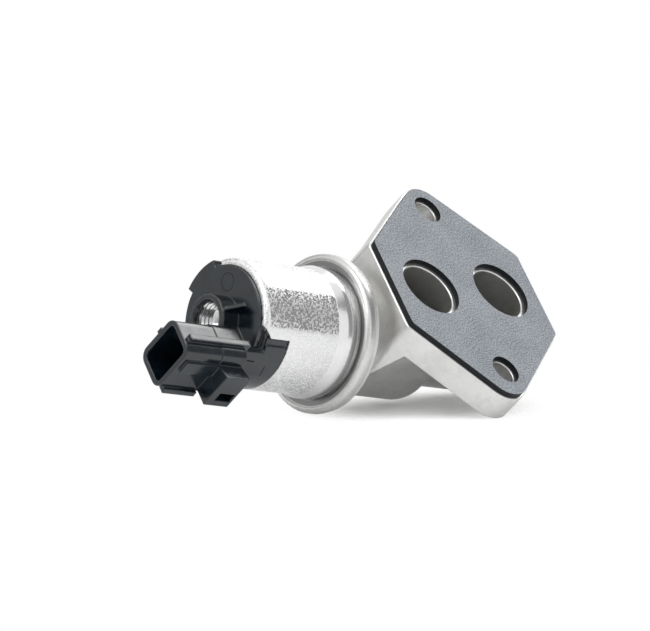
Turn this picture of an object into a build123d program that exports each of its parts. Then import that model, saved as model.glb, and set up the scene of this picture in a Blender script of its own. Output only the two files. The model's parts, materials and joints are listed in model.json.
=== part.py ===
from build123d import *
import os
from math import cos, pi, radians, sin, sqrt, tan

# Idle air control valve for an engine's intake.
# Units are millimetres. The origin is the centre of the gasket's outer face,
# midway between the two fixing holes. +Z points out of the mating face towards
# the engine, and the solenoid lies along X with its connector at -X.

# Mating flange and its gasket
bolt_spacing = 53.0
bolt_hole_r = 3.4
bolt_chamfer = 0.2
port_pitch = 26.0
port_skew = 4.8
port_r = 7.7
port_chamfer = 0.25
flange_thickness = 7.9
flange_half_width = 26.2
flange_near_corner = 11.0
flange_far_corner = 13.6
flange_corner_r = 2.0
lobe_r = 6.9
lower_lobe_r = 7.3
lower_lobe_shift_x = -1.2
lower_lobe_shift_y = -0.8
flange_margin = 0.6
gasket_thickness = 1.5
gasket_port_margin = 1.05
gasket_bolt_margin = 0.7

# Cast body below the flange
axis_depth = 23.9
pad_step = 0.5
pad_thickness = 1.2
pad_face_x = -31.3
barrel_r = 14.55
shoulder_x = -6.5
shoulder_r = 5.0
tail_r = 10.15
tail_end_x = 25.8
tail_round = 1.5
neck_end_x = 1.2
neck_foot_setback = 2.7
neck_flare = 3.25
neck_foot_corner_r = 9.0
neck_top_corner_r = 1.0
tail_neck_wall = 3.2
tail_neck_flare = 1.0
tail_neck_corner_r = 6.0
flange_edge = 0.25

# Flow passage inside the body
chamber_r = 11.0
chamber_end_x = -5.0
seat_ring_r = 8.6
seat_ring_length = 4.0
seat_hole_r = 6.0
seat_chamfer = 0.8
outlet_r = 7.2
plug_thickness = 1.5
plug_recess = 1.0
plug_hub_wall = 0.6
plug_hub_length = 7.0

# Running and assembly clearances
running_gap = 0.04
press_gap = 0.02
seat_clearance = 0.1

# Moving valve
stroke = 3.0
shaft_r = 2.0
head_overlap = 1.4
head_thickness = 2.9
head_hub_wall = 1.4
head_hub_length = 2.4
clip_width = 1.8
clip_thickness = 0.8
armature_r = 6.5
armature_length = 10.0
armature_rest_gap = 0.6
armature_vent_r = 0.8
tail_overlap = 5.0
spring_washer_margin = 0.6
spring_washer_thickness = 1.0
spring_washer_x = 6.0

# Solenoid frame
clamp_r = 20.4
clamp_thickness = 3.0
clamp_rim = 1.2
clamp_edge_width = 1.5
clamp_round = 1.15
clamp_inner_chamfer = 0.25
clamp_face_recess = 0.4
can_r = 16.15
can_wall = 1.1
can_front_x = -64.2
can_lip_width = 1.85
can_band_height = 0.8
can_band_length = 2.5
can_band_gap = 0.6
can_band_slope = 0.7
can_neck_drop = 0.15
can_round = 1.5
front_plate_thickness = 1.9
spigot_length = 3.4
front_bush_wall = 2.2
tail_bush_wall = 1.0
rear_plate_thickness = 2.2
sleeve_wall = 0.4
bobbin_wall = 0.9
bobbin_flange = 1.2
bobbin_clearance = 0.35
winding_drop = 1.3
wrap_thickness = 0.35
core_tail_gap = 0.05
core_nose_length = 1.8
thread_r = 4.1
thread_mouth = 0.4
core_recess = 1.6
screw_recess = 6.0
screw_length = 5.0
screw_socket_af = 4.0
screw_socket_depth = 2.6

# Moulded cap with its connector
cap_proud = 0.8
cap_plug_length = 4.8
cap_gap = 0.1
arm_slack_angle = 0.6
can_slot_angle = 37.0
can_slot_depth = 8.5
can_slot_splay = 10.0
can_slot_splay_depth = 2.3
key_slot_angle = 28.0
key_slot_depth = 5.2
key_angle = 21.0
boss_r = 6.4
boss_height = 5.1
boss_hole_r = 5.0
web_side_y = -1.4
web_foot_half = 9.2
web_top_half = 7.0
web_core_half = 4.0
web_plate = 1.0
arm_half_height = 6.2
arm_notch_depth = 2.4
tongue_half_height = 8.0
tongue_step = 0.5
rib_run = 1.4
collar_length = 7.5
collar_margin = 0.15
shroud_length = 11.4
shroud_inset = 3.18
shroud_width = 11.35
shroud_height = 15.0
shroud_corner_r = 2.8
shroud_wall = 1.3
socket_depth = 16.8
rib_offset_y = -1.4
rib_width = 1.7
rib_height = 1.1
rib_setback = 1.5
key_rib_length = 7.0
key_rib_height = 1.9
rail_height = 0.7
upper_rail_low = 0.6
upper_rail_high = 4.3
lower_rail_low = -7.4
lower_rail_high = -5.9
latch_height = 4.75
latch_half_width = 5.35
latch_root_half = 4.3
latch_slot_low = -3.6
latch_slot_high = -0.7
latch_slot_setback = 0.6
latch_slot_length = 4.8
latch_slot_depth = 3.0
cap_edge = 0.35
terminal_pitch = 5.2
terminal_width = 2.8
terminal_thickness = 0.8
terminal_reach = 8.0
terminal_window = 4.6

# Springs and seals
return_wire_r = 0.25
return_mean_r = 2.6
return_turns = 6
return_pocket_gap = 0.45
return_pocket_depth = 3.0
balance_wire_r = 0.25
balance_hub_gap = 0.3
balance_turns = 4
body_seal_wall = 2.0
body_seal_section_r = 0.95
cap_seal_section_r = 0.9
seal_groove_half = 1.15
seal_corners = 8

# Sizes and places worked out from the sizes above
gasket_port_r = port_r + gasket_port_margin
gasket_bolt_r = bolt_hole_r + gasket_bolt_margin
flange_top = -gasket_thickness
flange_bottom = flange_top - flange_thickness
axis_z = -axis_depth
pad_r = clamp_r - pad_step
front_plate_x = pad_face_x - front_plate_thickness
clamp_front_x = pad_face_x - clamp_thickness
spigot_end_x = front_plate_x - spigot_length
can_inner_r = can_r - can_wall
can_lip_r = can_r - can_lip_width
can_band_r = can_r + can_band_height
can_rear_x = clamp_front_x + clamp_face_recess
cap_face_x = can_front_x - cap_proud
rear_plate_x = cap_face_x + cap_plug_length
rear_plate_inner_x = rear_plate_x + rear_plate_thickness
cap_shoulder_x = can_front_x + can_wall
armature_x = spigot_end_x - armature_rest_gap
armature_rear_x = armature_x - armature_length
core_face_x = armature_rear_x - stroke - armature_rest_gap
sleeve_r = armature_r + running_gap
core_r = sleeve_r + sleeve_wall
bobbin_r = core_r + press_gap
bobbin_flange_r = can_inner_r - bobbin_clearance
coil_inner_r = bobbin_r + bobbin_wall
coil_r = bobbin_flange_r - winding_drop
core_tail_r = boss_hole_r - core_tail_gap
cap_seal_r = core_tail_r + cap_seal_section_r + core_tail_gap
body_seal_r = chamber_r + body_seal_wall + seal_groove_half
boss_face_x = cap_face_x - boss_height
shroud_y = shroud_inset - can_r
core_tail_x = boss_face_x + core_recess
screw_x = core_tail_x + screw_recess
screw_end_x = screw_x + screw_length
front_bush_r = shaft_r + front_bush_wall
tail_bush_r = shaft_r + tail_bush_wall
plug_hub_r = tail_bush_r + plug_hub_wall
plug_x = tail_end_x - plug_recess
plug_inner_x = plug_x - plug_thickness
hub_x = plug_inner_x - plug_hub_length
return_pocket_r = return_mean_r + return_wire_r + return_pocket_gap
balance_mean_r = plug_hub_r + balance_hub_gap + balance_wire_r
spring_washer_r = balance_mean_r + balance_wire_r + spring_washer_margin
seat_x = chamber_end_x
seat_end_x = seat_x + seat_ring_length
head_r = seat_hole_r + head_overlap
head_hub_r = shaft_r + head_hub_wall
clip_r = shaft_r + clip_width
head_face_x = seat_x - seat_clearance
head_back_x = head_face_x - head_thickness
hub_back_x = head_back_x - head_hub_length
shaft_tail_x = hub_x + tail_overlap
shaft_front_x = armature_rear_x + return_pocket_depth
collar_x = boss_face_x - collar_length
socket_x = collar_x - shroud_length
tongue_x = can_front_x + can_slot_depth - cap_gap
arm_end_x = cap_face_x + arm_notch_depth
ports = [(-port_pitch / 2 * cos(radians(port_skew)), -port_pitch / 2 * sin(radians(port_skew))),
         (port_pitch / 2 * cos(radians(port_skew)), port_pitch / 2 * sin(radians(port_skew)))]
bolts = [(0, bolt_spacing / 2), (0, -bolt_spacing / 2)]


def turned(points):
    """Solid of revolution about the solenoid axis, from (x, radius) points."""
    outline = Polyline(*[(x, axis_z + r) for x, r in points], close=True)
    return revolve(make_face(Plane.XZ * outline), Axis((0, 0, axis_z), (1, 0, 0)), 360)


def rod(x0, x1, r):
    """Cylinder on the solenoid axis between two places along X."""
    upright = Cylinder(r, abs(x1 - x0), align=(Align.CENTER, Align.CENTER, Align.MIN))
    return Pos(min(x0, x1), 0, axis_z) * Rot(0, 90, 0) * upright


def tube(x0, x1, r_out, r_in):
    """Hollow cylinder on the solenoid axis."""
    return rod(x0, x1, r_out) - rod(x0, x1, r_in)


def block(x0, x1, y0, y1, z0, z1):
    """Box between two corners, with z counted from the solenoid axis."""
    size = Box(abs(x1 - x0), abs(y1 - y0), abs(z1 - z0))
    return Pos((x0 + x1) / 2, (y0 + y1) / 2, axis_z + (z0 + z1) / 2) * size


def upright(x, y, r, z0, z1):
    """Cylinder along Z between two heights."""
    size = Cylinder(r, abs(z1 - z0), align=(Align.CENTER, Align.CENTER, Align.MIN))
    return Pos(x, y, min(z0, z1)) * size


def countersink(x, y, r, depth):
    """Cone that breaks the edge of a hole in the flange face at 45 degrees."""
    cone = Cone(r, r + depth, depth, align=(Align.CENTER, Align.CENTER, Align.MAX))
    return Pos(x, y, flange_top) * cone


def sector(x0, x1, r, half_angle, side):
    """Wedge of a cylinder on the solenoid axis, centred on +Y or -Y."""
    reach = 1.5 * r
    rise = reach * tan(radians(half_angle))
    corners = [(0, axis_z), (side * reach, axis_z + rise), (side * reach, axis_z - rise)]
    wedge = make_face(Plane.YZ * Polyline(*corners, close=True))
    return extrude(Pos(min(x0, x1), 0, 0) * wedge, abs(x1 - x0), dir=(1, 0, 0)) & rod(x0, x1, r)


def rounded_bar(x0, x1, y_mid, width, height, corner):
    """Bar along X with a rounded rectangular section."""
    section = Plane.YZ * Pos(y_mid, axis_z) * RectangleRounded(width, height, corner)
    return extrude(Pos(min(x0, x1), 0, 0) * section, abs(x1 - x0), dir=(1, 0, 0))


def seal_ring(x0, ring_r, section_r):
    """Ring whose section is a polygon with one corner on the plane at x0."""
    steps = [2 * pi * corner / seal_corners for corner in range(seal_corners)]
    return turned([(x0 + section_r * (1 - cos(step)), ring_r + section_r * sin(step))
                   for step in steps])


def coil_spring(x0, x1, mean_r, wire_r, turns):
    """Square wire wound from x0 to x1, on edge, each end touching its seat."""
    length = x1 - x0 - 2 * wire_r
    path = Helix(pitch=length / turns, height=length, radius=mean_r)
    across = Plane(origin=path @ 0, x_dir=(1, 0, 0), z_dir=path % 0)
    wound = sweep(across * RegularPolygon(wire_r, 4), path=path, is_frenet=True)
    return Pos(x0 + wire_r, 0, axis_z) * Rot(0, 90, 0) * wound


def flange_outline(margin):
    """Hull of four corner circles and a lobe round each fixing hole."""
    side_x = flange_half_width - flange_corner_r
    corners = [(-side_x, flange_near_corner), (side_x, flange_far_corner),
               (side_x, -flange_near_corner), (-side_x, -flange_far_corner)]
    lower_lobe = (lower_lobe_shift_x, -bolt_spacing / 2 + lower_lobe_shift_y)
    with BuildSketch() as outline:
        with BuildLine():
            for place in corners:
                CenterArc(place, flange_corner_r + margin, 0, 360)
            CenterArc((0, bolt_spacing / 2), lobe_r + margin, 0, 360)
            CenterArc(lower_lobe, lower_lobe_r + margin, 0, 360)
        make_hull()
    return outline.sketch


def barrel_outside():
    """Turned outside of the casting: pad, blend, barrel, round shoulder and tail."""
    pad_back_x = pad_face_x + pad_thickness
    blend_r = pad_r - barrel_r
    shoulder_fall = shoulder_r - (barrel_r - tail_r)
    shoulder_run = sqrt(shoulder_r ** 2 - shoulder_fall ** 2)
    barrel_top = axis_z + barrel_r
    tail_top = axis_z + tail_r
    with BuildPart() as cast:
        with BuildSketch(Plane.XZ):
            with BuildLine():
                Polyline((pad_face_x, axis_z), (pad_face_x, axis_z + pad_r),
                         (pad_back_x, axis_z + pad_r))
                RadiusArc((pad_back_x, axis_z + pad_r),
                          (pad_back_x + blend_r, barrel_top), -blend_r)
                Line((pad_back_x + blend_r, barrel_top), (shoulder_x, barrel_top))
                RadiusArc((shoulder_x, barrel_top),
                          (shoulder_x + shoulder_run, tail_top), shoulder_r)
                Line((shoulder_x + shoulder_run, tail_top), (tail_end_x - tail_round, tail_top))
                RadiusArc((tail_end_x - tail_round, tail_top),
                          (tail_end_x, tail_top - tail_round), tail_round)
                Polyline((tail_end_x, tail_top - tail_round), (tail_end_x, axis_z),
                         (pad_face_x, axis_z))
            make_face()
        revolve(axis=Axis((0, 0, axis_z), (1, 0, 0)))
    return cast.part


def neck_section(z, x0, x1, half_width, corner):
    """Rounded rectangle across the neck at one height."""
    return Pos((x0 + x1) / 2, 0, z) * RectangleRounded(x1 - x0, 2 * half_width, corner)


def valve_body():
    """Cast body: flange plate, solenoid pad, neck, barrel and tail, with its passages."""
    edge = flange_outline(flange_margin)
    plate = extrude(Pos(0, 0, flange_bottom) * edge, flange_thickness)
    rims = plate.edges().filter_by(Plane.XY)
    plate = chamfer(rims, flange_edge)
    envelope = extrude(Pos(0, 0, axis_z) * edge, axis_depth + flange_top - flange_edge)
    under_plate = flange_bottom + flange_edge
    pot = loft([neck_section(axis_z, 2 * pad_face_x, neck_end_x - neck_foot_setback, barrel_r,
                             neck_foot_corner_r),
                neck_section(under_plate, 2 * pad_face_x, neck_end_x, barrel_r + neck_flare,
                             neck_top_corner_r)], ruled=True)
    outlet_end = ports[1][0] + port_r + tail_neck_wall
    outlet = loft([neck_section(axis_z, seat_x, outlet_end, tail_r, tail_neck_corner_r),
                   neck_section(under_plate, seat_x, outlet_end + tail_neck_flare,
                                tail_r + tail_neck_flare, tail_neck_corner_r)], ruled=True)
    body = plate + barrel_outside() + (pot & envelope) + (outlet & envelope)
    body -= rod(pad_face_x, seat_x, chamber_r)
    body -= rod(seat_x, seat_end_x, seat_ring_r)
    body -= rod(seat_end_x, tail_end_x, outlet_r)
    body -= tube(pad_face_x, pad_face_x + 2 * body_seal_section_r,
                 body_seal_r + seal_groove_half, body_seal_r - seal_groove_half)
    for x, y in ports:
        body -= upright(x, y, port_r, axis_z, flange_top)
        body -= countersink(x, y, port_r, port_chamfer)
    for x, y in bolts:
        body -= upright(x, y, bolt_hole_r, flange_bottom, flange_top)
        body -= countersink(x, y, bolt_hole_r, bolt_chamfer)
    return body


def flange_gasket():
    """Flat gasket with holes for both ports and both fixing screws."""
    sheet = extrude(Pos(0, 0, flange_top) * flange_outline(0), gasket_thickness)
    for x, y in ports:
        sheet -= upright(x, y, gasket_port_r, flange_top, 0)
    for x, y in bolts:
        sheet -= upright(x, y, gasket_bolt_r, flange_top, 0)
    return sheet


def seat_ring():
    """Pressed ring whose inner edge is the valve seat."""
    return turned([(seat_x, seat_hole_r + seat_chamfer), (seat_x, seat_ring_r - press_gap),
                   (seat_end_x, seat_ring_r - press_gap), (seat_end_x, seat_hole_r),
                   (seat_x + seat_chamfer, seat_hole_r)])


def end_plug():
    """Cup pressed into the tail, with a hub that holds the tail bush."""
    inner = outlet_r - press_gap
    return turned([(plug_x, 0), (plug_x, inner - plug_thickness), (tail_end_x, inner - plug_thickness),
                   (tail_end_x, inner), (plug_inner_x, inner), (plug_inner_x, plug_hub_r),
                   (hub_x, plug_hub_r), (hub_x, tail_bush_r), (plug_inner_x, tail_bush_r),
                   (plug_inner_x, 0)])


def tail_bush():
    """Plain bearing for the far end of the shaft."""
    return tube(hub_x, plug_inner_x, tail_bush_r - press_gap, shaft_r + running_gap)


def front_bush():
    """Plain bearing for the shaft in the front plate."""
    return tube(spigot_end_x, pad_face_x, front_bush_r - press_gap, shaft_r + running_gap)


def front_plate():
    """Steel plate against the casting, with a spigot that centres the can."""
    return turned([(pad_face_x, front_bush_r), (pad_face_x, clamp_r - clamp_rim - press_gap),
                   (front_plate_x, clamp_r - clamp_rim - press_gap),
                   (front_plate_x, can_inner_r - press_gap), (spigot_end_x, can_inner_r - press_gap),
                   (spigot_end_x, front_bush_r)])


def clamp_ring():
    """Pressed steel ring that holds the solenoid down on the casting's pad."""
    inner = can_inner_r + press_gap
    rim_inner = clamp_r - clamp_rim
    edge_inner = clamp_r - clamp_edge_width
    shoulder = clamp_round * (1 - cos(radians(45)))
    return turned([(pad_face_x, rim_inner), (front_plate_x, rim_inner), (front_plate_x, inner),
                   (can_rear_x, inner), (can_rear_x, edge_inner),
                   (clamp_front_x + clamp_inner_chamfer, edge_inner),
                   (clamp_front_x, edge_inner + clamp_inner_chamfer),
                   (clamp_front_x, clamp_r - clamp_round),
                   (clamp_front_x + shoulder, clamp_r - shoulder),
                   (clamp_front_x + clamp_round, clamp_r), (pad_face_x, clamp_r)])


def solenoid_can():
    """Drawn can: crimped front lip, end band, and slots for the cap's arm and key."""
    lip_x = clamp_front_x - can_band_gap
    band_x = lip_x - can_band_length
    can = turned([(can_rear_x, can_inner_r), (can_rear_x, can_r - can_neck_drop),
                  (lip_x, can_r - can_neck_drop), (lip_x, can_band_r), (band_x, can_band_r),
                  (band_x - can_band_slope, can_r), (can_front_x, can_r),
                  (can_front_x, can_lip_r), (cap_shoulder_x, can_lip_r),
                  (cap_shoulder_x, can_inner_r)])
    rim = can.edges().filter_by(GeomType.CIRCLE).group_by(Axis.X)[0].sort_by(SortBy.RADIUS)[-1]
    can = fillet(rim, can_round)
    beyond = can_front_x - can_wall
    can -= sector(beyond, can_front_x + can_slot_depth, 2 * can_r, can_slot_angle, -1)
    can -= sector(beyond, can_front_x + key_slot_depth, 2 * can_r, key_slot_angle, 1)
    spread = can_r * radians(can_slot_splay)
    for side in (1, -1):
        out = (0, -cos(radians(can_slot_angle)), side * sin(radians(can_slot_angle)))
        corner = Plane(origin=(can_front_x, 0, axis_z), x_dir=(1, 0, 0), z_dir=out)
        notch = Polyline((0, 0), (can_slot_splay_depth, 0), (0, side * spread),
                         (-can_wall, side * spread), (-can_wall, 0), close=True)
        can -= extrude(corner * make_face(notch), 2 * can_r)
    return can


def bobbin():
    """Moulded former with a flange at each end."""
    form = tube(rear_plate_inner_x, spigot_end_x, coil_inner_r, bobbin_r)
    form += tube(rear_plate_inner_x, rear_plate_inner_x + bobbin_flange, bobbin_flange_r, bobbin_r)
    form += tube(spigot_end_x - bobbin_flange, spigot_end_x, bobbin_flange_r, bobbin_r)
    return form


def coil_winding():
    """Copper wire wound on the bobbin, as one solid."""
    return tube(rear_plate_inner_x + bobbin_flange, spigot_end_x - bobbin_flange,
                coil_r, coil_inner_r + press_gap)


def coil_wrap():
    """Insulating wrap round the winding."""
    return tube(rear_plate_inner_x + bobbin_flange, spigot_end_x - bobbin_flange,
                coil_r + press_gap + wrap_thickness, coil_r + press_gap)


def rear_plate():
    """Steel washer behind the coil, notched where the terminals pass."""
    washer = tube(rear_plate_x, rear_plate_inner_x, can_inner_r - press_gap, core_tail_r + press_gap)
    window_top = shroud_y + terminal_width
    return washer - block(rear_plate_x, rear_plate_inner_x, -can_r, window_top,
                          -terminal_window, terminal_window)


def fixed_core():
    """Steel core whose bored tail opens in the cap's boss."""
    nose_x = core_face_x - core_nose_length
    return turned([(core_tail_x, thread_r + thread_mouth), (core_tail_x, core_tail_r),
                   (rear_plate_inner_x, core_tail_r), (rear_plate_inner_x, core_r - press_gap),
                   (nose_x, core_r - press_gap), (nose_x, armature_r), (core_face_x, armature_r),
                   (core_face_x, return_pocket_r), (screw_end_x, return_pocket_r),
                   (screw_end_x, thread_r), (core_tail_x + thread_mouth, thread_r)])


def guide_sleeve():
    """Thin brass tube in which the armature slides."""
    return tube(core_face_x - core_nose_length, spigot_end_x, core_r - press_gap, sleeve_r)


def adjusting_screw():
    """Screw with a hexagon socket that sets the load of the return spring."""
    screw = rod(screw_x, screw_end_x, thread_r - press_gap)
    hexagon = RegularPolygon(screw_socket_af / 2, 6, major_radius=False)
    socket = extrude(Plane.YZ * Pos(0, axis_z) * hexagon, screw_socket_depth, dir=(1, 0, 0))
    return screw - Pos(screw_x, 0, 0) * socket


def armature():
    """Sliding iron core with a spring pocket and two air passages."""
    iron = rod(armature_rear_x, armature_x, armature_r)
    iron -= rod(armature_rear_x, shaft_front_x, return_pocket_r)
    iron -= rod(shaft_front_x, armature_x, shaft_r + press_gap)
    vent = (shaft_r + armature_r) / 2
    for side in (1, -1):
        iron -= Pos(0, side * vent, 0) * rod(shaft_front_x, armature_x, armature_vent_r)
    return iron


def valve_shaft():
    """Ground pin that joins the armature to the valve head."""
    return rod(shaft_front_x, shaft_tail_x, shaft_r)


def valve_head():
    """Disc with a coned face and a hub, pressed on the shaft."""
    bore = shaft_r + press_gap
    return turned([(head_face_x, bore), (head_face_x, head_r - seat_chamfer),
                   (head_face_x - seat_chamfer, head_r), (head_back_x, head_r),
                   (head_back_x, head_hub_r), (hub_back_x, head_hub_r), (hub_back_x, bore)])


def head_clip():
    """Push-on retainer in front of the valve head."""
    return tube(head_face_x, head_face_x + clip_thickness, clip_r, shaft_r + press_gap)


def spring_washer():
    """Seat of the balance spring, pressed on the shaft."""
    return tube(spring_washer_x, spring_washer_x + spring_washer_thickness,
                spring_washer_r, shaft_r + press_gap)


def return_spring():
    """Spring between the adjusting screw and the armature."""
    return coil_spring(screw_end_x, shaft_front_x, return_mean_r, return_wire_r, return_turns)


def balance_spring():
    """Lighter spring between the shaft's washer and the end plug."""
    return coil_spring(spring_washer_x + spring_washer_thickness, plug_inner_x, balance_mean_r,
                       balance_wire_r, balance_turns)


def body_seal():
    """Rubber ring between the casting and the front plate."""
    return seal_ring(pad_face_x, body_seal_r, body_seal_section_r)


def cap_seal():
    """Rubber ring round the core's tail, under the cap."""
    return seal_ring(rear_plate_x - 2 * cap_seal_section_r, cap_seal_r, cap_seal_section_r)


def terminal(side):
    """Flat blade from the coil to the middle of the socket."""
    tip = socket_x + socket_depth - terminal_reach
    middle = side * terminal_pitch / 2
    blade = block(tip, rear_plate_inner_x, shroud_y - terminal_width / 2,
                  shroud_y + terminal_width / 2,
                  middle - terminal_thickness / 2, middle + terminal_thickness / 2)
    ends = blade.edges().group_by(Axis.X)[0]
    return chamfer(ends, terminal_thickness / 4)


def connector_shroud():
    """Socket with ribs on three sides, rails and a latch on the fourth."""
    half = shroud_height / 2
    outer_y = shroud_y - shroud_width / 2
    shell = rounded_bar(socket_x, collar_x, shroud_y, shroud_width, shroud_height, shroud_corner_r)
    shell += rounded_bar(collar_x, boss_face_x, shroud_y, shroud_width + 2 * collar_margin,
                         shroud_height + 2 * collar_margin, shroud_corner_r)
    rib_x = socket_x + rib_setback
    rib_y = shroud_y + rib_offset_y
    for side in (1, -1):
        shell += block(rib_x, boss_face_x + rib_run, rib_y - rib_width / 2, rib_y + rib_width / 2,
                       side * (half - shroud_wall), side * (half + rib_height))
    inner_y = shroud_y + shroud_width / 2
    shell += block(rib_x, rib_x + key_rib_length, inner_y - shroud_wall, inner_y + key_rib_height,
                   -rib_width / 2, rib_width / 2)
    for low, high in [(upper_rail_low, upper_rail_high), (lower_rail_low, lower_rail_high)]:
        shell += block(rib_x, collar_x, outer_y - rail_height, outer_y + shroud_wall, low, high)
    latch_y = outer_y - latch_height
    face = Polyline((latch_y, axis_z - latch_half_width), (latch_y, axis_z + latch_half_width),
                    (outer_y, axis_z + latch_root_half), (outer_y, axis_z - latch_half_width),
                    close=True)
    latch = Pos(collar_x, 0, 0) * extrude(make_face(Plane.YZ * face), collar_length, dir=(1, 0, 0))
    slot_x = boss_face_x - latch_slot_setback
    latch -= block(slot_x - latch_slot_length, slot_x, outer_y - latch_height,
                   outer_y - latch_height + latch_slot_depth, latch_slot_low, latch_slot_high)
    shell += latch
    socket = rounded_bar(socket_x, socket_x + socket_depth, shroud_y, shroud_width - 2 * shroud_wall,
                         shroud_height - 2 * shroud_wall, shroud_corner_r - shroud_wall)
    return shell - socket


def connector_cap():
    """Moulded cap: disc in the can, boss, arm, key and the connector."""
    skirt_r = can_r - cap_gap / 2
    cap = rod(cap_face_x, cap_shoulder_x, can_lip_r - cap_gap)
    cap += rod(cap_shoulder_x, rear_plate_x, can_inner_r - cap_gap)
    tongue = sector(arm_end_x, tongue_x, skirt_r - tongue_step, can_slot_angle - arm_slack_angle, -1)
    middle = block(arm_end_x, tongue_x, -can_r, 0, -tongue_half_height, tongue_half_height)
    tongue += middle & rod(arm_end_x, tongue_x, skirt_r)
    key = sector(cap_face_x, can_front_x + key_slot_depth - cap_gap, skirt_r, key_angle, 1)
    cap += (tongue + key) - rod(rear_plate_x, tongue_x, can_inner_r + cap_gap)
    arm = block(boss_face_x, arm_end_x, -can_r, shroud_y, -arm_half_height, arm_half_height)
    cap += arm & rod(boss_face_x, arm_end_x, skirt_r)
    web_top_x = boss_face_x + cap_edge
    plan = Polyline((cap_face_x, axis_z - web_foot_half), (web_top_x, axis_z - web_top_half),
                    (web_top_x, axis_z + web_top_half), (cap_face_x, axis_z + web_foot_half),
                    close=True)
    web = Pos(0, shroud_y, 0) * extrude(make_face(Plane.XZ * plan), web_side_y - shroud_y,
                                        dir=(0, 1, 0))
    for side in (1, -1):
        web -= block(boss_face_x, cap_face_x, shroud_y, web_side_y - web_plate,
                     side * web_core_half, side * can_r)
    cap += web
    boss = rod(boss_face_x, cap_face_x, boss_r)
    cap += fillet(boss.edges().group_by(Axis.X)[0], cap_edge)
    cap += connector_shroud()
    cap -= rod(boss_face_x, rear_plate_x, boss_hole_r)
    cap -= rod(rear_plate_x - 2 * cap_seal_section_r, rear_plate_x, cap_seal_r + cap_seal_section_r)
    for side in (1, -1):
        middle = side * terminal_pitch / 2
        cap -= block(socket_x + socket_depth, tongue_x, shroud_y - terminal_width / 2,
                     shroud_y + terminal_width / 2,
                     middle - terminal_thickness / 2, middle + terminal_thickness / 2)
    return cap


nodes = {
    "valve_body": valve_body,
    "flange_gasket": flange_gasket,
    "seat_ring": seat_ring,
    "end_plug": end_plug,
    "tail_bush": tail_bush,
    "front_bush": front_bush,
    "front_plate": front_plate,
    "clamp_ring": clamp_ring,
    "body_seal": body_seal,
    "solenoid_can": solenoid_can,
    "bobbin": bobbin,
    "coil_winding": coil_winding,
    "coil_wrap": coil_wrap,
    "rear_plate": rear_plate,
    "fixed_core": fixed_core,
    "guide_sleeve": guide_sleeve,
    "adjusting_screw": adjusting_screw,
    "cap_seal": cap_seal,
    "connector_cap": connector_cap,
    "terminal_upper": lambda: terminal(1),
    "terminal_lower": lambda: terminal(-1),
    "return_spring": return_spring,
    "balance_spring": balance_spring,
    "armature": armature,
    "valve_shaft": valve_shaft,
    "valve_head": valve_head,
    "head_clip": head_clip,
    "spring_washer": spring_washer,
}

os.makedirs("parts", exist_ok=True)
for name, make in nodes.items():
    export_step(make(), "parts/" + name + ".step")
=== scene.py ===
import json
import bpy
import numpy as np
from mathutils import Matrix, Vector


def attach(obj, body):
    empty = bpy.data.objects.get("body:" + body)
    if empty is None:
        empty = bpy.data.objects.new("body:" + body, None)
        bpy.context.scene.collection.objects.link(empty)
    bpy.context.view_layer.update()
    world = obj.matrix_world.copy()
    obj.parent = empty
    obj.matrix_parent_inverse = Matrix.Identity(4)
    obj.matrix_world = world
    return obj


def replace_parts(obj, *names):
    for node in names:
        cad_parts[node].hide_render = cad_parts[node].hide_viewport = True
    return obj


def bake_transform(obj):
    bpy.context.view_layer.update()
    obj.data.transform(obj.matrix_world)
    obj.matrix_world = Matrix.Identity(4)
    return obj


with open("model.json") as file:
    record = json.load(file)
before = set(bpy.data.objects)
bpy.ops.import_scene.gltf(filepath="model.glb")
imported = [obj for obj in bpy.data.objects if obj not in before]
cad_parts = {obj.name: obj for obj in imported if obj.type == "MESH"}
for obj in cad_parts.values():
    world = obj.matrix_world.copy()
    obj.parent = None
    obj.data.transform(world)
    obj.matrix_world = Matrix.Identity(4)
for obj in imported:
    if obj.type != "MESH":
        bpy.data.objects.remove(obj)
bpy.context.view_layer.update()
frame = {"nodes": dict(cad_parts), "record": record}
nodes = frame["nodes"]
print("frame loaded:", len(nodes), "nodes")

# The camera stands as it stood for the photograph, in the part's own frame (metres).
cameraSet = {
    "place": (-0.6679, -0.4948, 0.5001),
    "forward": (0.6620, 0.5182, -0.5415),
    "up": (-0.0991, 0.7766, 0.6221),
    "lens": 209.49,          # mm, for a sensor 36 mm wide
    "lookDown": 7.5,         # degrees the camera looks down at the table
}

forward = Vector(cameraSet["forward"]).normalized()
right = forward.cross(Vector(cameraSet["up"])).normalized()
upward = right.cross(forward).normalized()
lookDown = np.radians(cameraSet["lookDown"])
tableUp = (upward * float(np.cos(lookDown)) - forward * float(np.sin(lookDown))).normalized()
towards = right.cross(tableUp).normalized()      # along the table, from the part to the camera

cameraData = bpy.data.cameras.new("camera")
cameraData.sensor_width = 36.0
cameraData.sensor_fit = "HORIZONTAL"
cameraData.lens = cameraSet["lens"]
cameraData.clip_start = 0.01
cameraData.clip_end = 50.0
camera = bpy.data.objects.new("camera", cameraData)
bpy.context.scene.collection.objects.link(camera)
cameraTurn = Matrix((right, upward, -forward)).transposed()
camera.matrix_world = Matrix.Translation(cameraSet["place"]) @ cameraTurn.to_4x4()
bpy.context.scene.camera = camera
bpy.context.scene.view_settings.view_transform = "Standard"
print("camera set")


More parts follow.
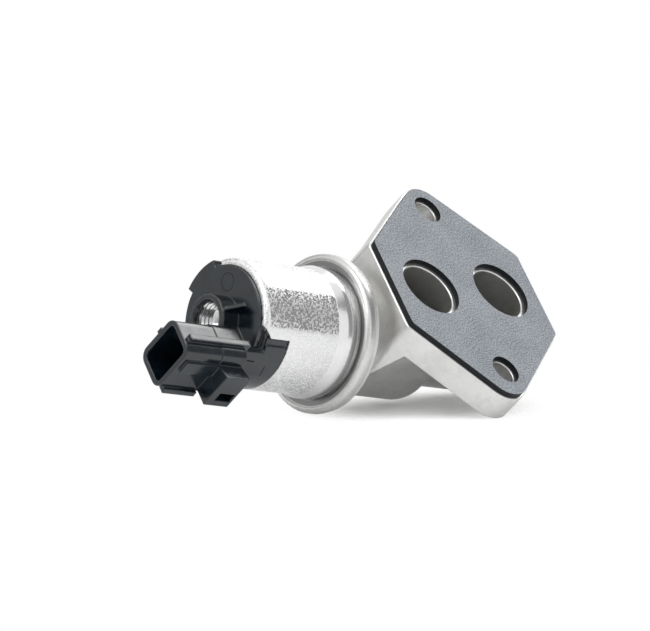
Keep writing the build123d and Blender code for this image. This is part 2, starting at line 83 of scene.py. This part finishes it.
# One output socket of a shader tree. Sums, differences and products of wires and numbers add
# Math nodes, and node() adds any other node.
class Wire:
    def __init__(self, tree, socket=None):
        self.tree = tree
        self.socket = socket

    def node(self, kind, settings=None, sockets=None, output=0):
        made = self.tree.nodes.new(kind)
        for key, value in (settings or {}).items():
            setattr(made, key, value)
        for key, value in (sockets or {}).items():
            if isinstance(value, Wire):
                self.tree.links.new(value.socket, made.inputs[key])
            else:
                made.inputs[key].default_value = value
        return Wire(self.tree, None if output is None else made.outputs[output])

    def math(self, operation, first, second):
        return self.node("ShaderNodeMath", {"operation": operation}, {0: first, 1: second})

    def vector(self, operation, first, second, output="Vector"):
        return self.node("ShaderNodeVectorMath", {"operation": operation}, {0: first, 1: second}, output)

    def __add__(self, other):
        return self.math("ADD", self, other)

    def __radd__(self, other):
        return self.math("ADD", other, self)

    def __sub__(self, other):
        return self.math("SUBTRACT", self, other)

    def __rsub__(self, other):
        return self.math("SUBTRACT", other, self)

    def __mul__(self, other):
        return self.math("MULTIPLY", self, other)

    def __rmul__(self, other):
        return self.math("MULTIPLY", other, self)

    def largest(self, other):
        return self.math("MAXIMUM", self, other)

    def axis(self, letter):
        # one coordinate of a vector
        return self.node("ShaderNodeSeparateXYZ", {}, {0: self}, letter)

    def within(self, low, high, start=0.0, end=1.0):
        # smooth step from start to end as the wire goes from low to high
        sockets = {0: self, 1: low, 2: high, 3: start, 4: end}
        return self.node("ShaderNodeMapRange", {"interpolation_type": "SMOOTHSTEP"}, sockets)

    def blend(self, first, second):
        # colour mix, with this wire as the share of the second
        settings = {"data_type": "RGBA", "clamp_factor": True}
        return self.node("ShaderNodeMix", settings, {0: self, 6: first, 7: second}, 2)


# Millimetre coordinates of the piece, as a wire.
def millimetres(wire):
    place = wire.node("ShaderNodeTexCoord", output="Object")
    return wire.node("ShaderNodeVectorMath", {"operation": "SCALE"}, {0: place, "Scale": 1000.0})


axisZ = -23.9                # mm, height of the solenoid axis
noiseRange = (0.3, 0.7)      # where nearly all values of a noise lie


# Noise with so many lumps per mm, drawn out along the axes whose stretch is under 1.
def noise(wire, place, perMm, detail=3.0, rough=0.5, stretch=None):
    if stretch:
        place = wire.vector("MULTIPLY", place, stretch)
    sockets = {"Vector": place, "Scale": perMm, "Detail": detail, "Roughness": rough}
    return wire.node("ShaderNodeTexNoise", {}, sockets)


def gray(level):
    return (level, level, level, 1.0)


def color(red, green, blue):
    return (red, green, blue, 1.0)


# A new material whose Principled sockets get what build(wire, place) returns.
def finish(name, build, **fixed):
    made = bpy.data.materials.new(name)
    made.use_nodes = True
    tree = made.node_tree
    surface = tree.nodes["Principled BSDF"]
    wire = Wire(tree)
    sockets = {key.replace("_", " "): value for key, value in fixed.items()}
    sockets.update(build(wire, millimetres(wire)))
    for socket, value in sockets.items():
        if isinstance(value, Wire):
            tree.links.new(value.socket, surface.inputs[socket])
        else:
            surface.inputs[socket].default_value = value
    return made


def bumpOf(wire, height, depth, under=None):
    # height times depth (mm) as a bump, on top of another bump if one is given
    sockets = {"Height": height, "Strength": 1.0, "Distance": depth / 1000.0}
    if under:
        sockets["Normal"] = under
    return wire.node("ShaderNodeBump", {}, sockets)


def rounded(wire, radius):
    # normals that turn softly over the edges, within a radius in mm
    return wire.node("ShaderNodeBevel", {"samples": 4}, {"Radius": radius / 1000.0})


# Satin casting: broad patches for the tone, waves and grains for the relief.
castSet = {
    "light": color(0.77, 0.768, 0.758),
    "dark": color(0.66, 0.658, 0.648),
    "rough": (0.32, 0.46),
    "patches": 0.12,         # per mm
    "waves": 0.7,            # per mm
    "grains": 2.2,           # per mm
    "waveDepth": 0.035,      # mm
    "grainDepth": 0.018,     # mm
    "edge": 0.22,            # mm
}


def castAluminium(wire, place):
    s = castSet
    patches = noise(wire, place, s["patches"], 4.0, 0.6)
    waves = noise(wire, place, s["waves"], 3.0, 0.6)
    grains = noise(wire, place, s["grains"], 3.0, 0.65)
    tone = (patches * 0.6 + waves * 0.4).within(0.32, 0.68)
    wavy = bumpOf(wire, waves, s["waveDepth"], rounded(wire, s["edge"]))
    return {
        "Base Color": tone.blend(s["dark"], s["light"]),
        "Roughness": (grains * 0.6 + patches * 0.4).within(*noiseRange, *s["rough"]),
        "Normal": bumpOf(wire, grains, s["grainDepth"], wavy),
    }


# Bright plating with frosted specks, which fade out on the plain flare at the can's mouth.
canSet = {
    "smooth": color(0.79, 0.79, 0.79),
    "frosted": color(0.885, 0.89, 0.895),
    "rough": (0.06, 0.5),    # of the smooth and the frosted metal
    "pebbles": 1.8,          # per mm
    "patches": 0.25,         # per mm
    "speck": (0.485, 0.535),
    "depth": 0.014,          # mm
    "edge": 0.25,            # mm
    "plain": (-40.4, -40.1),     # mm along the axis, where the plain flare begins
    "plainShare": 0.85,      # of the specks are gone there
    "plainRough": 0.09,      # more on the flare
}


def canSteel(wire, place):
    s = canSet
    pebbles = noise(wire, place, s["pebbles"], 2.0, 0.6)
    patches = noise(wire, place, s["patches"], 2.0, 0.5)
    flare = place.axis("X").within(*s["plain"])
    speck = (pebbles * 0.85 + patches * 0.15).within(*s["speck"]) * (1 - flare * s["plainShare"])
    return {
        "Base Color": speck.blend(s["smooth"], s["frosted"]),
        "Roughness": speck.within(0.0, 1.0, *s["rough"]) + flare * s["plainRough"],
        "Normal": bumpOf(wire, pebbles, s["depth"], rounded(wire, s["edge"])),
    }


# Worn plating, with painted shade darkening the groove round the can: a band of distances from the axis.
ringSet = {
    "light": color(0.70, 0.70, 0.69),
    "dark": color(0.61, 0.61, 0.605),
    # painted shade: the colour laid in the groove where shade falls between the can and the ring
    "groove": color(0.28, 0.28, 0.28),
    "grooveIn": (17.0, 17.3),    # mm from the axis
    "grooveOut": (18.4, 18.7),
    "rough": (0.40, 0.30),   # of the dark and the light metal
    "patches": 0.9,          # per mm
    "grains": 4.0,           # per mm
    "depth": 0.006,          # mm
}


def pressedSteel(wire, place):
    s = ringSet
    patches = noise(wire, place, s["patches"], 4.0, 0.7)
    grains = noise(wire, place, s["grains"], 2.0, 0.6)
    mask = (patches * 0.7 + grains * 0.3).within(0.36, 0.60)
    across = wire.vector("MULTIPLY", place, (0.0, 1.0, 1.0))
    away = wire.vector("DISTANCE", across, (0.0, 0.0, axisZ), "Value")
    # painted shade in the groove, a band from grooveIn to grooveOut from the axis
    grooveShade = away.within(*s["grooveIn"]) * (1 - away.within(*s["grooveOut"]))
    return {
        "Base Color": grooveShade.blend(mask.blend(s["dark"], s["light"]), s["groove"]),
        "Roughness": mask.within(0.0, 1.0, *s["rough"]),
        "Normal": bumpOf(wire, patches + grains * 0.5, s["depth"]),
    }


# Grey fibre faces over a black cut edge: the face shows where the surface looks along Z.
gasketSet = {
    "light": color(0.51, 0.545, 0.585),
    "dark": color(0.09, 0.103, 0.12),
    "edge": color(0.004, 0.0055, 0.007),
    "rough": (0.50, 0.66),
    "patches": 0.09,         # per mm
    "grains": 2.2,           # per mm
    "fibres": 6.0,           # per mm
    "depth": 0.025,          # mm
}


def gasketSheet(wire, place):
    s = gasketSet
    grains = noise(wire, place, s["grains"], 3.0, 0.8)
    fibres = noise(wire, place, s["fibres"], 2.0, 0.6)
    patches = noise(wire, place, s["patches"], 3.0, 0.5)
    tone = (grains * 0.7 + fibres * 0.2 + patches * 0.1).within(0.36, 0.64)
    face = wire.node("ShaderNodeTexCoord", output="Normal").axis("Z").within(0.6, 0.9)
    return {
        "Base Color": face.blend(s["edge"], tone.blend(s["dark"], s["light"])),
        "Roughness": grains.within(*noiseRange, *s["rough"]),
        "Normal": bumpOf(wire, grains + fibres * 0.5, s["depth"]),
    }


# Smooth black moulding with softly rounded edges.
plasticSet = {
    "dark": color(0.002, 0.0045, 0.0075),
    "light": color(0.005, 0.0105, 0.016),
    "rough": (0.12, 0.22),
    "patches": 0.35,         # per mm
    "grains": 4.0,           # per mm
    "depth": 0.006,          # mm
    "edge": 0.6,             # mm
}


def blackPlastic(wire, place):
    s = plasticSet
    patches = noise(wire, place, s["patches"], 3.0, 0.5)
    grains = noise(wire, place, s["grains"], 2.0, 0.6)
    mask = (patches * 0.5 + grains * 0.5).within(*noiseRange)
    return {
        "Base Color": patches.within(*noiseRange).blend(s["dark"], s["light"]),
        "Roughness": mask.within(0.0, 1.0, *s["rough"]),
        "Normal": bumpOf(wire, grains, s["depth"], rounded(wire, s["edge"])),
    }


# A plain turned, drawn or moulded finish: two tones, a roughness range and a grain.
def plainFinish(dark, light, roughLow, roughHigh, perMm, depth, stretch=None):
    def build(wire, place):
        grains = noise(wire, place, perMm, 3.0, 0.6, stretch)
        patches = noise(wire, place, perMm * 0.2, 2.0, 0.5)
        mask = (grains * 0.6 + patches * 0.4).within(*noiseRange)
        return {
            "Base Color": mask.blend(dark, light),
            "Roughness": mask.within(0.0, 1.0, roughHigh, roughLow),
            "Normal": bumpOf(wire, grains, depth),
        }
    return build


turned = (6.0, 0.4, 0.4)     # grain drawn out round the axis
finishes = {
    "cast_aluminium": finish("castAluminium", castAluminium, Metallic=1.0),
    "can_steel": finish("canSteel", canSteel, Metallic=1.0),
    "pressed_steel": finish("pressedSteel", pressedSteel, Metallic=1.0),
    "gasket_sheet": finish("gasketSheet", gasketSheet, Specular_IOR_Level=0.3),
    "black_plastic": finish("blackPlastic", blackPlastic, Specular_IOR_Level=0.8),
    "turned_brass": finish("turnedBrass", plainFinish(
        color(0.52, 0.36, 0.14), color(0.80, 0.62, 0.30), 0.22, 0.38, 1.0, 0.008, turned), Metallic=1.0),
    "plated_steel": finish("platedSteel", plainFinish(
        gray(0.62), gray(0.84), 0.20, 0.36, 1.0, 0.008, turned), Metallic=1.0),
    "bearing_bronze": finish("bearingBronze", plainFinish(
        color(0.34, 0.22, 0.10), color(0.55, 0.38, 0.19), 0.35, 0.55, 2.5, 0.01), Metallic=1.0),
    "seal_rubber": finish("sealRubber", plainFinish(
        gray(0.012), gray(0.025), 0.42, 0.58, 2.0, 0.006)),
    "natural_nylon": finish("naturalNylon", plainFinish(
        color(0.62, 0.58, 0.47), color(0.76, 0.73, 0.63), 0.36, 0.5, 1.5, 0.006)),
    "copper_wire": finish("copperWire", plainFinish(
        color(0.36, 0.13, 0.05), color(0.62, 0.27, 0.12), 0.25, 0.38, 3.0, 0.03, turned), Metallic=1.0),
    "coil_tape": finish("coilTape", plainFinish(
        color(0.45, 0.28, 0.05), color(0.68, 0.47, 0.12), 0.32, 0.46, 0.8, 0.01)),
    "core_iron": finish("coreIron", plainFinish(
        gray(0.62), gray(0.84), 0.12, 0.26, 1.0, 0.008, turned), Metallic=1.0),
    "tinned_blade": finish("tinnedBlade", plainFinish(
        gray(0.30), gray(0.48), 0.26, 0.40, 1.2, 0.006), Metallic=1.0),
    "spring_wire": finish("springWire", plainFinish(
        gray(0.32), gray(0.52), 0.24, 0.38, 3.0, 0.004), Metallic=1.0),
    "ground_steel": finish("groundSteel", plainFinish(
        gray(0.5), gray(0.68), 0.14, 0.26, 1.5, 0.004, turned), Metallic=1.0),
    "valve_plastic": finish("valvePlastic", plainFinish(
        color(0.10, 0.055, 0.03), color(0.17, 0.10, 0.06), 0.34, 0.48, 1.2, 0.006)),
}
slotOf = {row["node"]: row["material_slot"] for row in frame["record"]["subparts"]}
for name, node in nodes.items():
    node.data.materials.clear()
    node.data.materials.append(finishes[slotOf[name]])
print("finishes made")


# A mesh object from points in mm and faces, with its finish, smooth up to a crease angle.
def piece(name, points, faces, slotName, crease=32.0, surface=None, caps=()):
    mesh = bpy.data.meshes.new(name)
    mesh.from_pydata((points.reshape(-1, 3) * 0.001).tolist(), [], faces.tolist() + list(caps))
    mesh.validate()
    mesh.shade_smooth()
    mesh.set_sharp_from_angle(angle=float(np.radians(crease)))
    mesh.materials.append(surface or finishes[slotName])
    made = bpy.data.objects.new(name, mesh)
    bpy.context.scene.collection.objects.link(made)
    return made


# Quads over a grid of points (rows, columns), closed along the rows, the columns or both.
def gridFaces(rows, columns, closeRows=True, closeColumns=True):
    index = np.arange(rows * columns).reshape(rows, columns)
    if closeRows:
        index = np.concatenate([index, index[:1]], 0)
    if closeColumns:
        index = np.concatenate([index, index[:, :1]], 1)
    quads = [index[:-1, :-1], index[:-1, 1:], index[1:, 1:], index[1:, :-1]]
    return np.stack(quads, -1).reshape(-1, 4)


# Surface of revolution: each (x, r) of the closed outline goes to (x, r sin a, axis + r cos a)
# for every angle a; r may be given per angle.
def revolved(x, r, count):
    angle = np.arange(count) * 2 * np.pi / count
    x = np.broadcast_to(np.reshape(x, (len(x), -1)), (len(x), count))
    r = np.broadcast_to(np.reshape(r, (len(r), -1)), (len(r), count))
    return np.stack([x, r * np.sin(angle), axisZ + r * np.cos(angle)], -1)


# Part of a circle about (x, r), from angle start to end in degrees, as points of an outline.
def arc(x, r, radius, start, end, steps=6):
    turn = np.radians(np.linspace(start, end, steps + 1))
    return np.stack([x + radius * np.cos(turn), r + radius * np.sin(turn)], -1)


# The can's mouth widens in a short cone before its band: a skin over the solid's steeper step.
# Its outline goes up the cone, along the band, round the mouth and back below the can's surface.
flareShape = {
    "from": -40.3, "to": -38.0, "end": -34.62, "r": 16.14, "bandR": 16.98, "under": 16.0,
    "softX": 0.25, "softR": 0.06, "mouthRound": 0.3, "count": 192,
}


def canFlare():
    s = flareShape
    outline = np.concatenate([
        [(s["from"], s["under"]), (s["from"], s["r"]), (s["to"], s["bandR"] - s["softR"]),
         (s["to"] + s["softX"], s["bandR"])],
        arc(s["end"] - s["mouthRound"], s["bandR"] - s["mouthRound"], s["mouthRound"], 90, 0, 4),
        [(s["end"], s["under"])]])
    points = revolved(outline[:, 0], outline[:, 1], s["count"])
    made = piece("canFlare", points, gridFaces(len(outline), s["count"]), "can_steel", 14.0)
    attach(made, "housing")


# The ring's section is a flat plate with a rolled rim: straight lines joined by parts of circles,
# carried round the axis.
ringShape = {
    "front": -34.3, "back": -31.3, "plate": -33.2, "face": -33.9,
    "bore": 15.07, "rim": 19.2, "flat": 18.9, "outer": 20.4,
    "frontRound": 1.3, "backRound": 0.45, "innerRound": 0.22, "boreRound": 0.15, "count": 192,
}


def clampRing():
    s = ringShape
    outline = np.concatenate([
        [(s["back"], s["rim"]), (s["plate"], s["rim"]), (s["plate"], s["bore"])],
        arc(s["face"] + s["boreRound"], s["bore"] + s["boreRound"], s["boreRound"], 270, 180, 2),
        [(s["face"], s["flat"])],
        arc(s["front"] + s["innerRound"], s["flat"] + s["innerRound"], s["innerRound"], 270, 180, 3),
        arc(s["front"] + s["frontRound"], s["outer"] - s["frontRound"], s["frontRound"], 180, 90, 10),
        arc(s["back"] - s["backRound"], s["outer"] - s["backRound"], s["backRound"], 90, 0, 5),
    ])
    points = revolved(outline[:, 0], outline[:, 1], s["count"])
    made = piece("clampRing", points, gridFaces(len(outline), s["count"]), "pressed_steel")
    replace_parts(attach(made, "housing"), "clamp_ring")


# The bore's radius goes from crest to root and back once per pitch, and the phase moves on by the
# turn's share of the angle, which makes the groove a helix. It runs out flat at the inner end.
coreShape = {
    "mouth": -68.5, "shoulder": -58.0, "nose": -52.6, "face": -50.8, "screwEnd": -57.5,
    "tail": 4.95, "body": 6.92, "noseR": 6.5, "pocket": 3.3, "bore": 4.08,
    "crest": 4.0, "root": 4.55, "pitch": 1.25, "slope": 2.6, "flat": 0.25,
    "inset": 0.45, "stop": 0.2, "runOut": 0.6, "runOutDeep": 0.08, "perPitch": 14, "count": 144,
}


def threadedCore():
    s = coreShape
    start, end = s["mouth"] + s["inset"], s["screwEnd"] + s["stop"]
    steps = int((end - start) / s["pitch"] * s["perPitch"])
    x = np.linspace(end, start, steps)
    share = np.arange(s["count"]) / s["count"]
    phase = (x[:, None] - start) / s["pitch"] + share
    wave = np.clip(np.abs(phase % 1.0 - 0.5) * s["slope"] - s["flat"], 0, 1)
    cut = np.clip((end - x) / s["runOut"], 0, 1)[:, None]
    thread = s["crest"] + (s["root"] - s["crest"]) * (1 - wave) * cut + (1 - cut) * s["runOutDeep"]
    plain = np.array([
        (s["mouth"], s["root"] + 0.1), (s["mouth"] + 0.12, s["tail"] - 0.02),
        (s["mouth"] + 0.2, s["tail"]), (s["shoulder"], s["tail"]),
        (s["shoulder"], s["body"]), (s["nose"], s["body"]), (s["nose"], s["noseR"]),
        (s["face"], s["noseR"]), (s["face"], s["pocket"]), (s["screwEnd"], s["pocket"]),
        (s["screwEnd"], s["bore"])])
    around = np.broadcast_to(plain[:, 1:], (len(plain), s["count"]))
    points = revolved(np.concatenate([plain[:, 0], x]), np.concatenate([around, thread]), s["count"])
    made = piece("threadedCore", points, gridFaces(len(points), s["count"]), "core_iron", 40.0)
    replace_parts(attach(made, "housing"), "fixed_core")


# Turned screw with a cupped end face round its hexagon socket. The socket's wall lies at
# half the width across flats, over the cosine of the angle from the nearest flat's middle.
screwShape = {
    "front": -64.9, "end": -57.5, "r": 4.0, "edge": 0.1, "rim": 0.2, "cup": 0.8,
    "across": 4.0, "depth": 3.0, "drill": 0.6, "middle": 0.01, "count": 144,
}


def adjustingScrew():
    s = screwShape
    angle = np.arange(s["count"]) * 2 * np.pi / s["count"]
    hexagon = s["across"] / 2 / np.cos((angle + np.pi / 6) % (np.pi / 3) - np.pi / 6)
    inner = s["front"] + s["cup"]
    rows = [
        (s["end"], s["middle"]), (s["end"], s["r"]), (s["front"] + s["edge"], s["r"]),
        (s["front"], s["r"] - 0.8 * s["edge"]), (s["front"], s["r"] - s["rim"]),
        (inner, hexagon + s["edge"]), (inner + s["edge"], hexagon),
        (inner + s["depth"], hexagon), (inner + s["depth"] + s["drill"], s["middle"])]
    x = np.array([row[0] for row in rows])
    r = np.stack([np.broadcast_to(row[1], s["count"]) for row in rows])
    made = piece("adjustingScrew", revolved(x, r, s["count"]), gridFaces(len(x), s["count"]),
                 "plated_steel", 24.0)
    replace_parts(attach(made, "housing"), "adjusting_screw")


# Round wire on a helix about the solenoid axis. The rise per turn is one wire at both ends,
# so that the end coils close, and even between them. Each ring of the wire lies across the path.
springShape = {
    "wire": 0.24,            # mm, radius
    "closed": 2.1,           # wire radii that an end coil rises
    "held": 2.2,             # wire radii at each end, from which the ends' places are worked out
    "sides": 10, "perTurn": 40,
}
springs = {
    "returnSpring": {"node": "return_spring", "fixed": -57.5, "moving": -44.2, "r": 2.6, "turns": 7.5},
    "balanceSpring": {"node": "balance_spring", "fixed": 23.3, "moving": 7.0, "r": 4.15, "turns": 5.5},
}


def woundSpring(name, node, fixed, moving, r, turns):
    s = springShape
    wire, sides = s["wire"], s["sides"]
    way = np.sign(moving - fixed)
    length = abs(moving - fixed) - 2 * wire
    closed = s["closed"] * wire
    turn = np.linspace(0, turns, int(turns * s["perTurn"]))
    rise = np.interp(turn, [0, 1, turns - 1, turns], [0, closed, length - closed, length])
    x = fixed + way * (wire + rise)
    angle = 2 * np.pi * turn
    path = np.stack([x, r * np.sin(angle), axisZ + r * np.cos(angle)], -1)
    out = np.stack([np.zeros_like(x), np.sin(angle), np.cos(angle)], -1)
    ahead = np.gradient(path, axis=0)
    ahead /= np.linalg.norm(ahead, axis=1, keepdims=True)
    across = np.cross(ahead, out)
    about = (np.arange(sides) * 2 * np.pi / sides)[:, None]
    points = path[:, None] + wire * (out[:, None] * np.cos(about) + across[:, None] * np.sin(about))
    ring = np.arange(sides)
    caps = [ring[::-1].tolist(), (ring + (len(path) - 1) * sides).tolist()]
    faces = gridFaces(len(path), sides, closeRows=False)
    made = piece(name, points, faces, "spring_wire", 50.0, caps=caps)
    held = way * s["held"] * wire
    ends = [(at * 0.001, 0, axisZ * 0.001) for at in (fixed + held, moving - held)]
    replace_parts(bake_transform(made), node)


# Round rubber ring: the section's circle carried round the axis.
seals = {
    "bodySeal": {"node": "body_seal", "x": -30.35, "r": 14.15, "section": 0.95},
    "capSeal": {"node": "cap_seal", "x": -61.1, "r": 5.9, "section": 0.9},
}


def rubberSeal(name, node, x, r, section):
    outline = arc(x, r, section, 0, 360, 24)[:-1]
    points = revolved(outline[:, 0], outline[:, 1], 96)
    made = piece(name, points, gridFaces(len(outline), 96), "seal_rubber")
    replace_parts(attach(made, "housing"), node)


# Near-black, dull finish for painted shade: the pin mark's groove and the slits in the arm.
shadeMarkFinish = finish("shadeMarkPlastic", plainFinish(gray(0.002), gray(0.004), 0.5, 0.6, 3.0, 0.004),
                    Specular_IOR_Level=0.2)

# Mark of the ejector pin, a hair above the cap's face: two circles about one point, joined. The ring is
# near-black painted shade for the shade in the mark's thin groove.
pinShape = {"x": -65.02, "y": 7.0, "z": 7.0, "inner": 2.22, "outer": 2.36, "count": 48}


def pinMark():
    s = pinShape
    angle = np.arange(s["count"]) * 2 * np.pi / s["count"]
    r = np.array([s["inner"], s["outer"]])[:, None]
    points = np.stack([np.full((2, s["count"]), s["x"]), s["y"] + r * np.sin(angle),
                       axisZ + s["z"] + r * np.cos(angle)], -1)
    made = piece("pinMark", points, gridFaces(2, s["count"], closeRows=False), "black_plastic",
                 surface=shadeMarkFinish)
    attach(made, "housing")


# Short slits in the arm, drawn as strips of painted shade: a strip from start to end (x, z), tapered
# towards both, and laid on the arm's cylinder, where y is minus the root of the squared radius less z
# squared.
armR = 16.13                 # mm
slits = {
    "armSlit": {"start": (-60.3, 2.7), "end": (-59.5, -0.8), "width": 0.26},
    "edgeSlit": {"start": (-66.8, 3.8), "end": (-64.2, 3.7), "width": 0.34},
}


def slit(name, start, end, width):
    share = np.linspace(0, 1, 13)
    run = np.subtract(end, start)
    across = np.array([run[1], -run[0]]) / np.hypot(*run) * width / 2
    taper = np.sqrt(np.clip(1 - (2 * share - 1) ** 6, 0.02, 1))
    x, z = (np.stack([start[i] + run[i] * share - across[i] * taper,
                      start[i] + run[i] * share + across[i] * taper]) for i in (0, 1))
    points = np.stack([x, -np.sqrt(armR ** 2 - z ** 2), axisZ + z], -1)
    # painted shade: dark strips laid on the arm where the slits are
    made = piece(name, points, gridFaces(2, 13, False, False), "black_plastic", surface=shadeMarkFinish)
    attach(made, "housing")


canFlare()
clampRing()
threadedCore()
adjustingScrew()
for name, values in springs.items():
    woundSpring(name, **values)
for name, values in seals.items():
    rubberSeal(name, **values)
pinMark()
for name, values in slits.items():
    slit(name, **values)
print("pieces added")

roomSet = {
    "centre": (-0.028, -0.002, -0.018),
    "plain": 0.74,           # level of the room on matt surfaces
    "mirror": 0.98,          # level of the room in glossy surfaces
    "least": 0.05,           # level of the darkest patch in them
}
centre = Vector(roomSet["centre"])

# Patches of the room in glossy surfaces: the level that each adds, and the steps that bound it.
# A step names a direction, the values between which it rises, and 1 where the patch lies above
# it or -1 where it lies below.
roomPatches = {
    "softbox": (3.6, ("rise", 0.42, 0.58, 1), ("side", 0.10, 0.40, 1), ("near", -0.46, -0.38, -1)),
    "darkCard": (-0.66, ("side", 0.50, 0.64, 1), ("rise", -0.12, -0.05, 1),
                 ("near", -0.45, -0.36, 1), ("near", 0.30, 0.42, -1)),
    "inFront": (-0.35, ("near", 0.10, 0.70, 1), ("rise", -0.20, 0.10, 1),
                ("rise", 0.35, 0.60, -1), ("side", 0.25, 0.45, -1)),
    "farLeft": (-0.35, ("side", -0.98, -0.80, -1)),
    "behindLeft": (-0.55, ("side", -0.90, -0.75, 1), ("side", -0.45, -0.25, -1),
                   ("near", -0.60, -0.40, -1)),
}


# The world is white to the camera and even on matt surfaces. Glossy ones show the patches: each
# is its level times the product of its steps, read along the ray.
def lightRoom():
    world = bpy.data.worlds.new("room")
    bpy.context.scene.world = world
    world.use_nodes = True
    world.node_tree.nodes.clear()
    wire = Wire(world.node_tree)
    ray = wire.node("ShaderNodeTexCoord", output="Generated")
    along = {"rise": tableUp, "near": towards, "side": right}
    for key, direction in along.items():
        along[key] = wire.vector("DOT_PRODUCT", ray, tuple(direction), "Value")
    studio = roomSet["mirror"]
    for level, *steps in roomPatches.values():
        for direction, low, high, way in steps:
            step = along[direction].within(low, high)
            level = level * (step if way > 0 else 1 - step)
        studio = studio + level
    isGlossy = wire.node("ShaderNodeLightPath", output="Is Glossy Ray")
    isCamera = wire.node("ShaderNodeLightPath", output="Is Camera Ray")
    seen = isCamera.largest(wire.node("ShaderNodeLightPath", output="Is Transmission Ray"))
    level = studio.largest(roomSet["least"]) * isGlossy + roomSet["plain"] * (1 - isGlossy)
    strength = seen + level * (1 - seen)
    background = wire.node("ShaderNodeBackground", {}, {"Color": gray(1.0), "Strength": strength})
    wire.node("ShaderNodeOutputWorld", {}, {"Surface": background}, None)


# Lamps: how far each stands to the right, up and towards the camera, its size and its level.
lamps = {
    "overheadLamp": {"away": (-0.22, 0.55, 0.30), "size": (0.50, 0.40), "level": 2.3},
    "sideLamp": {"away": (-0.62, 0.22, 0.50), "size": (0.30, 0.30), "level": 0.9},
}


# A rectangular lamp that looks at the part. Its power is its level times its area times pi.
def lamp(name, away, size, level):
    side, height, near = away
    place = centre + right * side + tableUp * height + towards * near
    data = bpy.data.lights.new(name, "AREA")
    data.shape = "RECTANGLE"
    data.size, data.size_y = size
    data.energy = level * size[0] * size[1] * np.pi
    made = bpy.data.objects.new(name, data)
    bpy.context.scene.collection.objects.link(made)
    made.location = place
    made.rotation_mode = "QUATERNION"
    made.rotation_quaternion = (centre - place).to_track_quat("-Z", "Y")


tableSet = {
    "drop": -0.0309,         # height along its own up direction
    "size": 0.55,
    "count": 41,
    "fade": (0.06, 0.24),    # distances between which the paper melts into the backdrop
    "shadeAt": (0.017, -0.014),  # middle of the shadow that the camera sees, from the foot
    "shade": (0.014, 0.036),     # distances between which that shadow fades
    "shown": 1.45,           # brightness to the camera, over 1 so that it burns out to white
    "matt": 0.88,            # to matt surfaces
    "mirror": 1.08,          # in glossy surfaces
    # painted shadow: glossy surfaces see the paper darker close under the part
    "mirrorShadow": 0.72,     # in glossy surfaces, close under the part
}
foot = centre + tableUp * (tableSet["drop"] - centre.dot(tableUp))


# The paper's brightness depends on what looks at it, and it is clear from below. Its share is 1
# at the part and falls to 0 with the distance from the foot, and for the camera close round the
# shadow. Glossy surfaces see it darker close under the part: a painted shadow.
def tablePaper():
    s = tableSet
    made = bpy.data.materials.new("tablePaper")
    made.use_nodes = True
    made.node_tree.nodes.clear()
    wire = Wire(made.node_tree)
    place = wire.node("ShaderNodeTexCoord", output="Object")
    shadeFoot = foot + right * s["shadeAt"][0] + towards * s["shadeAt"][1]
    away = wire.vector("DISTANCE", place, tuple(foot), "Value").within(*s["fade"])
    outside = wire.vector("DISTANCE", place, tuple(shadeFoot), "Value").within(*s["shade"])
    isBack = wire.node("ShaderNodeNewGeometry", output="Backfacing")
    isCamera = wire.node("ShaderNodeLightPath", output="Is Camera Ray")
    isGlossy = wire.node("ShaderNodeLightPath", output="Is Glossy Ray")
    plain = isCamera.blend(gray(s["matt"]), gray(s["shown"]))
    bright = isGlossy.blend(plain, outside.blend(gray(s["mirrorShadow"]), gray(s["mirror"])))
    lit = wire.node("ShaderNodeBsdfDiffuse", {}, {"Color": bright})
    clear = wire.node("ShaderNodeBsdfTransparent")
    share = (1 - away) * (1 - isBack) * (1 - isCamera * outside)
    shown = wire.node("ShaderNodeMixShader", {}, {0: share, 1: clear, 2: lit})
    wire.node("ShaderNodeOutputMaterial", {}, {"Surface": shown}, None)
    return made


# The table is a fine square grid in the plane that the part rests on: the foot, plus one share
# of its size along the camera's right and another towards the camera.
def tableTop():
    count = tableSet["count"]
    span = np.linspace(-0.5, 0.5, count) * tableSet["size"]
    a, b = np.meshgrid(span, span, indexing="ij")
    points = np.array(foot) + a[..., None] * np.array(right) + b[..., None] * np.array(towards)
    mesh = bpy.data.meshes.new("table")
    mesh.from_pydata(points.reshape(-1, 3).tolist(), [], gridFaces(count, count, False, False).tolist())
    mesh.update()
    made = bpy.data.objects.new("table", mesh)
    bpy.context.scene.collection.objects.link(made)
    if mesh.polygons[0].normal.dot(tableUp) < 0:
        mesh.flip_normals()
    mesh.materials.append(tablePaper())
    made.visible_shadow = False
    return made


lightRoom()
for name, values in lamps.items():
    lamp(name, **values)
tableTop()
print("room lit")
